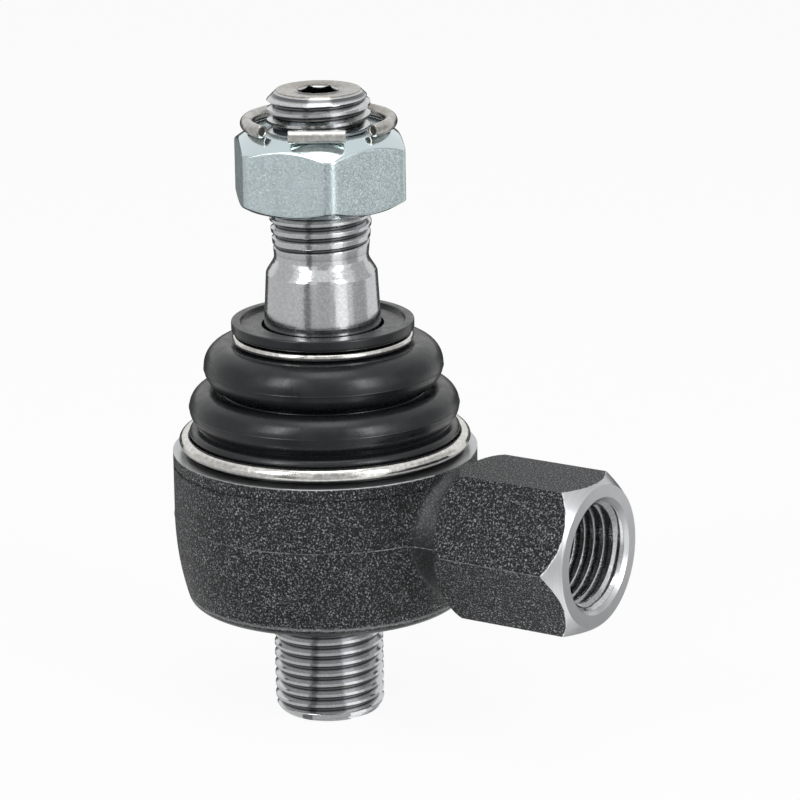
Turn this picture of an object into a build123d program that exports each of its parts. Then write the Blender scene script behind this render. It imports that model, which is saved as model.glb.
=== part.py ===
from build123d import *
import os
from math import cos, radians, sin, sqrt

# Angle ball joint, in millimetres.
# The origin is the centre of the ball. +Z runs up the ball pin, +X runs along the
# arm towards the mouth of its female thread. Threads are plain at their major size.

# ---- ball pin ----
BALL_R = 10.0
BALL_FLAT_Z = -8.6
NECK_R = 5.4
NECK_TOP_Z = 11.5
SHANK_R = 8.0
SHANK_BOTTOM_Z = 19.5
TAPER_BOTTOM_Z = 26.6
TAPER_TOP_R = 7.6
TAPER_TOP_Z = 33.9
RELIEF_R = 6.45
RELIEF_BOTTOM_Z = 35.8
RELIEF_TOP_Z = 37.8
PIN_THREAD_R = 7.0
PIN_THREAD_BOTTOM_Z = 42.0
PIN_TOP_Z = 59.0
PIN_TOP_CHAMFER = 1.3
KEY_SOCKET_AF = 5.0
KEY_SOCKET_DEPTH = 4.0
KEY_SOCKET_MOUTH_R = 2.9

# ---- nut, lock ring and lock bar on the pin ----
NUT_AF = 22.0
NUT_BOTTOM_Z = 43.7
NUT_TOP_Z = 53.7
NUT_BORE_R = 7.1
NUT_BORE_CHAMFER = 0.6
NUT_FACE_R = 9.4
NUT_CHAMFER_ANGLE = 36.0
NUT_CORNER_ANGLE = 10.0
LOCK_WIRE_R = 0.88
LOCK_RING_R = 9.75
LOCK_RING_Z = 54.53
LOCK_FRONT_ANGLE = -58.0
LOCK_RING_HALF_GAP = 49.0
LOCK_BAR_LENGTH = 7.7

# ---- boot and its two wire clamps ----
BOOT_TOP_Z = 27.1
BOOT_LIP_R = 12.5
BOOT_LIP_INNER_R = 11.1
BOOT_DISH_DEPTH = 0.55
BOOT_LIP_BOTTOM_Z = 25.55
BOOT_HOLE_R = 8.35
BOOT_COLLAR_BOTTOM_Z = 22.7
BOOT_COLLAR_INNER_R = 8.2
BOOT_WALL = 1.3
UPPER_FOLD_R = 13.2
UPPER_FOLD_Z = 20.8
UPPER_FOLD_BULGE = 3.2
LOWER_FOLD_R = 15.7
LOWER_FOLD_Z = 14.8
LOWER_FOLD_BULGE = 2.8
BOOT_BASE_INNER_R = 16.7
BOOT_BASE_OUTER_R = 18.6
BOOT_BASE_BOTTOM_Z = 9.15
BOOT_BASE_TOP_Z = 12.0
UPPER_CLAMP_R = 11.9
UPPER_CLAMP_Z = 24.75
UPPER_CLAMP_WIRE_R = 0.55
LOWER_CLAMP_R = 19.1
LOWER_CLAMP_Z = 10.45
LOWER_CLAMP_WIRE_R = 0.9
CLAMP_GAP = 0.05

# ---- housing ----
HUB_R = 20.9
HUB_TOP_Z = 9.04
HUB_BOTTOM_Z = -12.5
HUB_BELLY_R = 40.0
HUB_BOTTOM_EDGE_R = 1.6
HUB_GROOVE_Z = 7.3
HUB_GROOVE_HEIGHT = 0.4
HUB_GROOVE_DEPTH = 0.15
SPIGOT_R = 16.6
SPIGOT_TOP_Z = 11.6
MOUTH_TOP_R = 12.6
MOUTH_BOTTOM_R = 9.6
SOCKET_R = 14.0
SOCKET_TOP_Z = 7.2
COVER_BORE_R = 15.5
COVER_BORE_TOP_Z = -9.5
CRIMP_R = 14.6
CRIMP_START_Z = -11.5
NECK_OF_ARM_R = 8.7
ARM_FILLET_R = 2.6
HEX_AF = 20.0
HEX_START_X = 23.2
HEX_SHOULDER_R = 3.2
ARM_END_X = 43.4
END_FACE_R = 9.7
END_CHAMFER_ANGLE = 50.0
ROD_THREAD_R = 7.5
ROD_THREAD_DEPTH = 20.0
ROD_COUNTERSINK_R = 8.0

# ---- pieces inside the socket, and the cover with its stud ----
SEAT_GAP = 0.05
SEAT_OUTER_R = 13.95
UPPER_SEAT_BOTTOM_Z = 0.3
UPPER_SEAT_TOP_Z = 7.15
UPPER_SEAT_EDGE_Z = 6.0
UPPER_SEAT_MOUTH_R = 9.4
LOWER_SEAT_TOP_Z = -0.3
LOWER_SEAT_BOTTOM_Z = -8.0
DISC_SPRING_OUTER_R = 13.6
DISC_SPRING_INNER_R = 6.8
DISC_SPRING_THICKNESS = 0.9
DISC_SPRING_RISE = 0.6
COVER_R = 15.45
COVER_TOP_Z = -9.55
COVER_DISH_R = 6.6
COVER_DISH_Z = -10.35
STUD_R = 7.55
STUD_END_Z = -29.0
STUD_END_ROUNDING = 2.0

os.makedirs("parts", exist_ok=True)


def save(piece, label):
    """Label a finished piece and write it as its own STEP file."""
    piece.part.label = label
    export_step(piece.part, f"parts/{label}.step")


# Housing: one forging with a round hub, a hexagon arm and a turned socket.
hex_corner_r = HEX_AF / sqrt(3)
with BuildPart() as hex_end:
    with BuildSketch(Plane.YZ.offset(HEX_START_X)):
        RegularPolygon(HEX_AF / 2, 6, major_radius=False)
    extrude(amount=ARM_END_X - HEX_START_X)
    # The turned envelope rounds the back of the hexagon and chamfers its front corners.
    corner_drop = (hex_corner_r + 0.2 - END_FACE_R) * sin(radians(END_CHAMFER_ANGLE)) / cos(
        radians(END_CHAMFER_ANGLE)
    )
    with BuildSketch(Plane.XY):
        with BuildLine():
            back = Line((HEX_START_X, 0), (HEX_START_X, NECK_OF_ARM_R))
            shoulder = RadiusArc(
                back @ 1,
                (HEX_START_X + HEX_SHOULDER_R, hex_corner_r + 0.2),
                HEX_SHOULDER_R * 1.05,
            )
            Polyline(
                shoulder @ 1,
                (ARM_END_X - corner_drop, hex_corner_r + 0.2),
                (ARM_END_X, END_FACE_R),
                (ARM_END_X, 0),
                back @ 0,
            )
        make_face()
    revolve(axis=Axis.X, mode=Mode.INTERSECT)

with BuildPart() as housing:
    # The hub is a barrel below the parting plane and straight above it. It starts
    # taller than it ends, so that the fillet of the arm runs out of its top.
    hub_blank_top_z = HUB_TOP_Z + 6
    belly_bottom_r = HUB_R - (HUB_BELLY_R - sqrt(HUB_BELLY_R**2 - HUB_BOTTOM_Z**2))
    with BuildSketch(Plane.XZ):
        with BuildLine():
            side = Line((HUB_R, hub_blank_top_z), (HUB_R, 0))
            belly = RadiusArc(side @ 1, (belly_bottom_r, HUB_BOTTOM_Z), HUB_BELLY_R)
            Polyline(belly @ 1, (0, HUB_BOTTOM_Z), (0, hub_blank_top_z), side @ 0)
        make_face()
    revolve(axis=Axis.Z)
    with BuildSketch(Plane.YZ):
        Circle(NECK_OF_ARM_R)
    extrude(amount=HEX_START_X + 0.5)
    root = housing.edges(Select.LAST).filter_by(GeomType.BSPLINE)
    fillet(root, ARM_FILLET_R)
    fillet(housing.edges().filter_by(GeomType.CIRCLE).sort_by(Axis.Z)[0], HUB_BOTTOM_EDGE_R)
    add(hex_end.part)
    # The top is cut level, and the spigot for the boot stands on it.
    with BuildSketch(Plane.XY.offset(HUB_TOP_Z)):
        Circle(HUB_R + 1)
    extrude(amount=hub_blank_top_z, mode=Mode.SUBTRACT)
    with BuildSketch(Plane.XY.offset(HUB_TOP_Z - 1)):
        Circle(SPIGOT_R)
    extrude(amount=SPIGOT_TOP_Z - HUB_TOP_Z + 1)
    # Socket, pin mouth and cover bore, with the lip that holds the cover.
    with BuildSketch(Plane.XZ):
        Polygon(
            (0, SPIGOT_TOP_Z),
            (MOUTH_TOP_R, SPIGOT_TOP_Z),
            (MOUTH_BOTTOM_R, SOCKET_TOP_Z),
            (SOCKET_R, SOCKET_TOP_Z),
            (SOCKET_R, COVER_BORE_TOP_Z),
            (COVER_BORE_R, COVER_BORE_TOP_Z),
            (COVER_BORE_R, CRIMP_START_Z),
            (CRIMP_R, HUB_BOTTOM_Z),
            (0, HUB_BOTTOM_Z),
            align=None,
        )
    revolve(axis=Axis.Z, mode=Mode.SUBTRACT)
    # Shallow turned groove under the rim, on the hub only.
    with BuildSketch(Plane.XZ):
        with Locations((-HUB_R, HUB_GROOVE_Z)):
            Rectangle(2 * HUB_GROOVE_DEPTH, HUB_GROOVE_HEIGHT)
    revolve(axis=Axis.Z, mode=Mode.SUBTRACT)
    # Female thread of the arm, at its major size, with its countersink.
    countersink_depth = ROD_COUNTERSINK_R - ROD_THREAD_R
    with BuildSketch(Plane.XY):
        Polygon(
            (ARM_END_X, 0),
            (ARM_END_X, ROD_COUNTERSINK_R),
            (ARM_END_X - countersink_depth, ROD_THREAD_R),
            (ARM_END_X - ROD_THREAD_DEPTH, ROD_THREAD_R),
            (ARM_END_X - ROD_THREAD_DEPTH - ROD_THREAD_R / 2, 0),
            align=None,
        )
    revolve(axis=Axis.X, mode=Mode.SUBTRACT)
save(housing, "housing")

# Ball pin: ball, waist, shank, taper, relief and thread in one turned piece.
with BuildPart() as ball_pin:
    Sphere(BALL_R)
    with BuildSketch(Plane.XY.offset(BALL_FLAT_Z)):
        Circle(BALL_R)
    extrude(amount=-BALL_R, mode=Mode.SUBTRACT)
    with BuildSketch(Plane.XZ):
        with BuildLine():
            foot = Line((0, 0), (NECK_R, 0))
            waist = Line(foot @ 1, (NECK_R, NECK_TOP_Z))
            flare = Line(waist @ 1, (SHANK_R, SHANK_BOTTOM_Z))
            Polyline(
                flare @ 1,
                (SHANK_R, TAPER_BOTTOM_Z),
                (TAPER_TOP_R, TAPER_TOP_Z),
                (TAPER_TOP_R - 0.25, TAPER_TOP_Z + 0.35),
                (RELIEF_R, RELIEF_BOTTOM_Z),
                (RELIEF_R, RELIEF_TOP_Z),
                (PIN_THREAD_R, PIN_THREAD_BOTTOM_Z),
                (PIN_THREAD_R, PIN_TOP_Z - PIN_TOP_CHAMFER),
                (PIN_THREAD_R - PIN_TOP_CHAMFER, PIN_TOP_Z),
                (0, PIN_TOP_Z),
                foot @ 0,
            )
        make_face()
    revolve(axis=Axis.Z)
    # Hexagon key socket in the top, with a small countersink.
    with BuildSketch(Plane.XY.offset(PIN_TOP_Z)):
        RegularPolygon(KEY_SOCKET_AF / 2, 6, major_radius=False)
    extrude(amount=-KEY_SOCKET_DEPTH, mode=Mode.SUBTRACT)
    with BuildSketch(Plane.XZ):
        Polygon(
            (0, PIN_TOP_Z),
            (KEY_SOCKET_MOUTH_R, PIN_TOP_Z),
            (KEY_SOCKET_AF / 2, PIN_TOP_Z - (KEY_SOCKET_MOUTH_R - KEY_SOCKET_AF / 2)),
            (0, PIN_TOP_Z - (KEY_SOCKET_MOUTH_R - KEY_SOCKET_AF / 2)),
            align=None,
        )
    revolve(axis=Axis.Z, mode=Mode.SUBTRACT)
save(ball_pin, "ball_pin")

# Bearing shells around the ball, above and below its middle.
with BuildPart() as upper_seat:
    with BuildSketch(Plane.XZ):
        Polygon(
            (0, UPPER_SEAT_BOTTOM_Z),
            (SEAT_OUTER_R, UPPER_SEAT_BOTTOM_Z),
            (SEAT_OUTER_R, UPPER_SEAT_TOP_Z),
            (UPPER_SEAT_MOUTH_R, UPPER_SEAT_TOP_Z),
            (sqrt((BALL_R + SEAT_GAP) ** 2 - UPPER_SEAT_EDGE_Z**2), UPPER_SEAT_EDGE_Z),
            (0, UPPER_SEAT_EDGE_Z),
            align=None,
        )
    revolve(axis=Axis.Z)
    Sphere(BALL_R + SEAT_GAP, mode=Mode.SUBTRACT)
save(upper_seat, "upper_ball_seat")

with BuildPart() as lower_seat:
    with BuildSketch(Plane.XZ):
        Polygon(
            (0, LOWER_SEAT_TOP_Z),
            (SEAT_OUTER_R, LOWER_SEAT_TOP_Z),
            (SEAT_OUTER_R, LOWER_SEAT_BOTTOM_Z),
            (0, LOWER_SEAT_BOTTOM_Z),
            align=None,
        )
    revolve(axis=Axis.Z)
    Sphere(BALL_R + SEAT_GAP, mode=Mode.SUBTRACT)
save(lower_seat, "lower_ball_seat")

# Disc spring between the lower shell and the cover: a shallow cone of flat section.
with BuildPart() as disc_spring:
    spring_bottom_z = COVER_TOP_Z
    with BuildSketch(Plane.XZ):
        Polygon(
            (DISC_SPRING_INNER_R, spring_bottom_z + DISC_SPRING_RISE),
            (DISC_SPRING_OUTER_R, spring_bottom_z),
            (DISC_SPRING_OUTER_R, spring_bottom_z + DISC_SPRING_THICKNESS),
            (DISC_SPRING_INNER_R, spring_bottom_z + DISC_SPRING_RISE + DISC_SPRING_THICKNESS),
            align=None,
        )
    revolve(axis=Axis.Z)
save(disc_spring, "disc_spring")

# Cover that closes the socket from below, with the threaded stud in one piece.
with BuildPart() as cover:
    with BuildSketch(Plane.XZ):
        Polygon(
            (0, COVER_DISH_Z),
            (COVER_DISH_R, COVER_DISH_Z),
            (COVER_DISH_R, COVER_TOP_Z),
            (COVER_R, COVER_TOP_Z),
            (COVER_R, CRIMP_START_Z),
            (CRIMP_R - (COVER_BORE_R - COVER_R), HUB_BOTTOM_Z),
            (STUD_R, HUB_BOTTOM_Z),
            (STUD_R, STUD_END_Z),
            (0, STUD_END_Z),
            align=None,
        )
    revolve(axis=Axis.Z)
    fillet(cover.edges().filter_by(GeomType.CIRCLE).sort_by(Axis.Z)[0], STUD_END_ROUNDING)
save(cover, "cover_with_stud")

# Rubber boot: two folds of even wall, a dished collar at the top and a base.
with BuildPart() as boot:
    with BuildSketch(Plane.XZ) as boot_section:
        with BuildLine():
            upper_start = (UPPER_FOLD_R - 0.7, UPPER_FOLD_Z + UPPER_FOLD_BULGE - 0.1)
            upper_end = (UPPER_FOLD_R + 0.9, UPPER_FOLD_Z - UPPER_FOLD_BULGE + 0.13)
            lower_start = (LOWER_FOLD_R - 1.5, LOWER_FOLD_Z + LOWER_FOLD_BULGE - 0.44)
            lower_end = (LOWER_FOLD_R + 2.0, LOWER_FOLD_Z - LOWER_FOLD_BULGE + 0.84)
            valley_z = (upper_end[1] + lower_start[1]) / 2
            Line((BOOT_LIP_R - BOOT_WALL, BOOT_COLLAR_BOTTOM_Z + 0.9), upper_start)
            ThreePointArc(upper_start, (UPPER_FOLD_R + UPPER_FOLD_BULGE, UPPER_FOLD_Z), upper_end)
            ThreePointArc(upper_end, (upper_end[0] - 0.3, valley_z), lower_start)
            ThreePointArc(lower_start, (LOWER_FOLD_R + LOWER_FOLD_BULGE, LOWER_FOLD_Z), lower_end)
            Line(lower_end, (BOOT_BASE_OUTER_R - 0.45, BOOT_BASE_TOP_Z - 0.3))
            offset(amount=BOOT_WALL, side=Side.RIGHT)
        make_face()
        # Collar, with the dished top and the groove of the upper clamp.
        Polygon(
            (BOOT_HOLE_R, BOOT_TOP_Z - BOOT_DISH_DEPTH),
            (BOOT_LIP_INNER_R, BOOT_TOP_Z - BOOT_DISH_DEPTH),
            (BOOT_LIP_INNER_R + 0.2, BOOT_TOP_Z),
            (BOOT_LIP_R, BOOT_TOP_Z),
            (BOOT_LIP_R, BOOT_LIP_BOTTOM_Z + 0.3),
            (BOOT_LIP_R - 0.3, BOOT_LIP_BOTTOM_Z),
            (BOOT_LIP_R - 1.0, BOOT_LIP_BOTTOM_Z),
            (BOOT_LIP_R - 1.0, BOOT_COLLAR_BOTTOM_Z + 1.0),
            (BOOT_LIP_R - 0.5, BOOT_COLLAR_BOTTOM_Z),
            (BOOT_COLLAR_INNER_R, BOOT_COLLAR_BOTTOM_Z),
            (BOOT_COLLAR_INNER_R, BOOT_TOP_Z - 2 * BOOT_DISH_DEPTH),
            align=None,
        )
        # Base, which sits on the spigot of the housing.
        Polygon(
            (BOOT_BASE_INNER_R, BOOT_BASE_BOTTOM_Z),
            (BOOT_BASE_OUTER_R, BOOT_BASE_BOTTOM_Z),
            (BOOT_BASE_OUTER_R, BOOT_BASE_TOP_Z - 0.5),
            (BOOT_BASE_OUTER_R - 0.5, BOOT_BASE_TOP_Z),
            (BOOT_BASE_INNER_R, BOOT_BASE_TOP_Z + 0.6),
            align=None,
        )
        # Both clamps bed into half-round grooves.
        for ring_r, ring_z, wire_r in (
            (UPPER_CLAMP_R, UPPER_CLAMP_Z, UPPER_CLAMP_WIRE_R),
            (LOWER_CLAMP_R, LOWER_CLAMP_Z, LOWER_CLAMP_WIRE_R),
        ):
            with Locations((ring_r, ring_z)):
                Circle(wire_r + CLAMP_GAP, mode=Mode.SUBTRACT)
    revolve(axis=Axis.Z)
save(boot, "dust_boot")


def wire_ring(ring_r, ring_z, wire_r):
    """A closed ring of round wire, level, around the pin's axis."""
    with BuildPart() as ring:
        with BuildSketch(Plane.XZ):
            with Locations((ring_r, ring_z)):
                Circle(wire_r)
        revolve(axis=Axis.Z)
    return ring


save(wire_ring(UPPER_CLAMP_R, UPPER_CLAMP_Z, UPPER_CLAMP_WIRE_R), "boot_upper_clamp")
save(wire_ring(LOWER_CLAMP_R, LOWER_CLAMP_Z, LOWER_CLAMP_WIRE_R), "boot_lower_clamp")

# Hexagon nut, chamfered at both ends, with a plain bore.
with BuildPart() as nut:
    nut_corner_r = NUT_AF / sqrt(3)
    chamfer_rise = (nut_corner_r + 0.2 - NUT_FACE_R) * sin(radians(NUT_CHAMFER_ANGLE)) / cos(
        radians(NUT_CHAMFER_ANGLE)
    )
    with BuildSketch(Plane.XY.offset(NUT_BOTTOM_Z)):
        RegularPolygon(NUT_AF / 2, 6, major_radius=False, rotation=NUT_CORNER_ANGLE)
    extrude(amount=NUT_TOP_Z - NUT_BOTTOM_Z)
    with BuildSketch(Plane.XZ):
        Polygon(
            (0, NUT_BOTTOM_Z),
            (NUT_FACE_R, NUT_BOTTOM_Z),
            (nut_corner_r + 0.2, NUT_BOTTOM_Z + chamfer_rise),
            (nut_corner_r + 0.2, NUT_TOP_Z - chamfer_rise),
            (NUT_FACE_R, NUT_TOP_Z),
            (0, NUT_TOP_Z),
            align=None,
        )
    revolve(axis=Axis.Z, mode=Mode.INTERSECT)
    with BuildSketch(Plane.XZ):
        Polygon(
            (0, NUT_BOTTOM_Z),
            (NUT_BORE_R + NUT_BORE_CHAMFER, NUT_BOTTOM_Z),
            (NUT_BORE_R, NUT_BOTTOM_Z + NUT_BORE_CHAMFER),
            (NUT_BORE_R, NUT_TOP_Z - NUT_BORE_CHAMFER),
            (NUT_BORE_R + NUT_BORE_CHAMFER, NUT_TOP_Z),
            (0, NUT_TOP_Z),
            align=None,
        )
    revolve(axis=Axis.Z, mode=Mode.SUBTRACT)
save(nut, "hex_nut")

# Open lock ring of round wire, resting on the nut, and the short bar in its opening.
lock_plane = Plane(
    origin=(0, 0, LOCK_RING_Z),
    x_dir=(cos(radians(LOCK_FRONT_ANGLE)), sin(radians(LOCK_FRONT_ANGLE)), 0),
    z_dir=(0, 0, 1),
)
with BuildPart() as lock_ring:
    with BuildLine(lock_plane):
        ring_line = CenterArc(
            (0, 0), LOCK_RING_R, LOCK_RING_HALF_GAP, 360 - 2 * LOCK_RING_HALF_GAP
        )
    with BuildSketch(Plane(origin=ring_line @ 0, z_dir=ring_line % 0)):
        Circle(LOCK_WIRE_R)
    sweep()
save(lock_ring, "lock_ring")

with BuildPart() as lock_bar:
    bar_end = lock_plane.from_local_coords((LOCK_RING_R, -LOCK_BAR_LENGTH / 2, 0))
    with BuildSketch(Plane(origin=bar_end, z_dir=lock_plane.y_dir)):
        Circle(LOCK_WIRE_R)
    extrude(amount=LOCK_BAR_LENGTH)
    chamfer(lock_bar.edges().filter_by(GeomType.CIRCLE), 0.12)
save(lock_bar, "lock_bar")
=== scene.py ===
import math

import bmesh
import bpy
import numpy as np
from bpy.props import FloatProperty, FloatVectorProperty, IntProperty, PointerProperty
from mathutils import Matrix, Vector


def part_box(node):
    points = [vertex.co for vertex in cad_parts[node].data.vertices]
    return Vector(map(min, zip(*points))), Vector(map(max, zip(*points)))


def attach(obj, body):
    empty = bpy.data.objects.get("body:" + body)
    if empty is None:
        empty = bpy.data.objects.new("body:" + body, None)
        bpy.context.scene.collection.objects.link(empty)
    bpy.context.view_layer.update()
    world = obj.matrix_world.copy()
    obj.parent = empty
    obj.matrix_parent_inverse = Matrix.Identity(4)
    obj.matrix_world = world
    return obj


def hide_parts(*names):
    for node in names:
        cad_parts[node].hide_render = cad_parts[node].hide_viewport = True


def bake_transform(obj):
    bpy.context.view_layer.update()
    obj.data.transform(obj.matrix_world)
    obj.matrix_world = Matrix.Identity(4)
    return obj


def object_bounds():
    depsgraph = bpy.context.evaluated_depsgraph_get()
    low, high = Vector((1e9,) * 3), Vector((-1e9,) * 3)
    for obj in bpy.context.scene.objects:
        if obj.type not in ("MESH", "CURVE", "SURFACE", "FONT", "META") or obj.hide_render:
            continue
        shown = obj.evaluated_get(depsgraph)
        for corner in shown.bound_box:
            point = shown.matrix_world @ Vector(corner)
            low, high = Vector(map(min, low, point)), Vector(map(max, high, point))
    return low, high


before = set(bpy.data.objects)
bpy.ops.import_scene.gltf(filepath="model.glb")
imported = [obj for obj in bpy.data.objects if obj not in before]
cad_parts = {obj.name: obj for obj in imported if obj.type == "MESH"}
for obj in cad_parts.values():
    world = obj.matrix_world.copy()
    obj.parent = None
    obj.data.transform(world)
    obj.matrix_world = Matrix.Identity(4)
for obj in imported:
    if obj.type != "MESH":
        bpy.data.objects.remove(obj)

bl_info = {
    "name": "Angle Ball Joint",
    "version": (1, 0, 0),
    "blender": (4, 5, 0),
    "location": "3D View > Sidebar > Ball Joint",
    "description": "Dresses an angle ball joint with threads, boot, nut, wires and finishes",
    "category": "Add Mesh",
}

CAD_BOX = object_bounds()
MM = 0.001
MADE = {}


# ---------------------------------------------------------------- settings


def length(name, millimetres, text):
    """A length property whose default is given in millimetres."""
    return FloatProperty(
        name=name, description=text, default=millimetres * MM, unit="LENGTH", precision=5
    )


def share(name, value, text):
    """A plain factor property."""
    return FloatProperty(name=name, description=text, default=value, min=0.0, max=1.0, subtype="FACTOR")


def colour(name, value, text):
    """A linear colour property."""
    return FloatVectorProperty(
        name=name, description=text, default=value, size=3, min=0.0, max=1.0, subtype="COLOR"
    )


class ThreadSizes(bpy.types.PropertyGroup):
    pitch: length("Pitch", 1.5, "Rise of every thread in one turn")
    depth: length("Depth", 0.75, "Depth of the cut in the pin and the stud")
    female_depth: length("Female Depth", 0.72, "Height of the ridge in the arm and the nut")
    segments: IntProperty(name="Segments", description="Steps around a thread", default=128, min=24, max=200)


class PinSizes(bpy.types.PropertyGroup):
    ball_radius: length("Ball Radius", 10.0, "Radius of the ball")
    shank_radius: length("Shank Radius", 8.0, "Radius of the plain shank")
    relief_radius: length("Relief Radius", 6.45, "Radius of the relief below the thread")
    thread_radius: length("Thread Radius", 7.0, "Major radius of the thread")
    thread_bottom: length("Thread Bottom", 36.4, "Height at which the thread has run out")
    top: length("Top", 59.0, "Height of the end face")
    thread_turn: share("Thread Turn", 0.3, "Turn of the thread about the pin")
    key_width: length("Key Width", 5.0, "Width across the flats of the key socket")
    key_depth: length("Key Depth", 4.0, "Depth of the key socket")


class StudSizes(bpy.types.PropertyGroup):
    thread_radius: length("Thread Radius", 7.55, "Major radius of the thread")
    undercut_radius: length("Undercut Radius", 6.75, "Radius of the undercut below the cover")
    end_rounding: length("End Rounding", 2.0, "Rounding of the lower end")


class ArmThreadSizes(bpy.types.PropertyGroup):
    root_radius: length("Root Radius", 7.46, "Radius at the bottom of the grooves")
    depth: length("Depth", 19.0, "Length of the thread in the arm")


class NutSizes(bpy.types.PropertyGroup):
    face_radius: length("Face Radius", 9.4, "Radius at which the upper chamfer starts")
    seat_radius: length("Seat Radius", 10.6, "Radius at which the lower chamfer starts")
    edge_rounding: length("Edge Rounding", 0.36, "Softness of the edges")
    thread_height: length("Thread Height", 0.44, "Height of the thread's ridge")
    corner_rounding: length("Corner Rounding", 1.1, "Softness of the six corners")


class LockSizes(bpy.types.PropertyGroup):
    ring_radius: length("Ring Radius", 9.75, "Radius of the middle of the wire")
    wire_radius: length("Wire Radius", 0.88, "Radius of the wire")


class BootSizes(bpy.types.PropertyGroup):
    wall: length("Wall", 1.3, "Wall of the folds")
    mould_line: length("Mould Line", 0.06, "Height of the mould line on the folds")


class FinishColours(bpy.types.PropertyGroup):
    forged: colour("Forged Steel", (0.075, 0.077, 0.080), "Blasted and oiled forging")
    machined: colour("Machined Steel", (0.47, 0.48, 0.49), "Turned end of the arm")
    ground: colour("Ground Steel", (0.58, 0.59, 0.60), "Pin and stud")
    zinc: colour("Zinc Plate", (0.53, 0.61, 0.63), "Bluish plating of the nut")
    rubber: colour("Rubber", (0.0075, 0.0085, 0.0100), "Boot")
    bright_wire: colour("Bright Wire", (0.66, 0.65, 0.62), "Clamps and lock bar")
    dull_wire: colour("Dull Wire", (0.47, 0.46, 0.44), "Lock ring")
    plastic: colour("Bearing Plastic", (0.72, 0.70, 0.64), "Bearing shells")


class BallJointSettings(bpy.types.PropertyGroup):
    thread: PointerProperty(type=ThreadSizes)
    pin: PointerProperty(type=PinSizes)
    stud: PointerProperty(type=StudSizes)
    arm: PointerProperty(type=ArmThreadSizes)
    nut: PointerProperty(type=NutSizes)
    lock: PointerProperty(type=LockSizes)
    boot: PointerProperty(type=BootSizes)
    finish: PointerProperty(type=FinishColours)


# ---------------------------------------------------------------- node trees


class Tree:
    """Short calls for building a node tree of geometry or of a material."""

    def __init__(self, tree):
        self.tree = tree

    def add(self, kind, **settings):
        node = self.tree.nodes.new(kind)
        for key, value in settings.items():
            setattr(node, key, value)
        return node

    def put(self, socket, value):
        if isinstance(value, bpy.types.NodeSocket):
            self.tree.links.new(value, socket)
        elif value is not None:
            socket.default_value = value

    def math(self, operation, *values):
        node = self.add("ShaderNodeMath", operation=operation)
        for socket, value in zip(node.inputs, values):
            self.put(socket, value)
        return node.outputs[0]

    def wired(self, kind, inputs, **settings):
        """Adds a node, gives its inputs by name or number, and returns its first output."""
        node = self.add(kind, **settings)
        for key, value in inputs.items():
            self.put(node.inputs[key], value)
        return node.outputs[0]

    def times(self, a, b):
        return self.math("MULTIPLY", a, b)

    def plus(self, a, b):
        return self.math("ADD", a, b)

    def less(self, a, b):
        return self.math("SUBTRACT", a, b)

    def over(self, a, b):
        return self.math("DIVIDE", a, b)

    def least(self, a, b):
        return self.math("MINIMUM", a, b)

    def most(self, a, b):
        return self.math("MAXIMUM", a, b)


# Rows of the thread's grid to one pitch: crest and root begin on a row.
ROWS_PER_PITCH = 16
CREST_SHARE = 0.75
ROOT_SHARE = 0.125

THREAD_INPUTS = (
    ("Pitch", "Rise in one turn"),
    ("Crest Radius", "Radius of the crest; negative for a female thread"),
    ("Depth", "Depth of the groove"),
    ("Bottom", "Lowest height"),
    ("Top", "Highest height"),
    ("Bottom Radius", "Radius of the blank at the bottom"),
    ("Bottom Slope", "Growth of the blank's radius above the bottom"),
    ("Bottom Rounding", "Rounding of the blank's lower end"),
    ("Top Radius", "Radius of the blank at the top"),
    ("Top Slope", "Growth of the blank's radius below the top"),
    ("Run-out", "Height over which the groove fades in above the bottom"),
    ("Phase", "Turn of the helix, in turns"),
)


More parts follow.
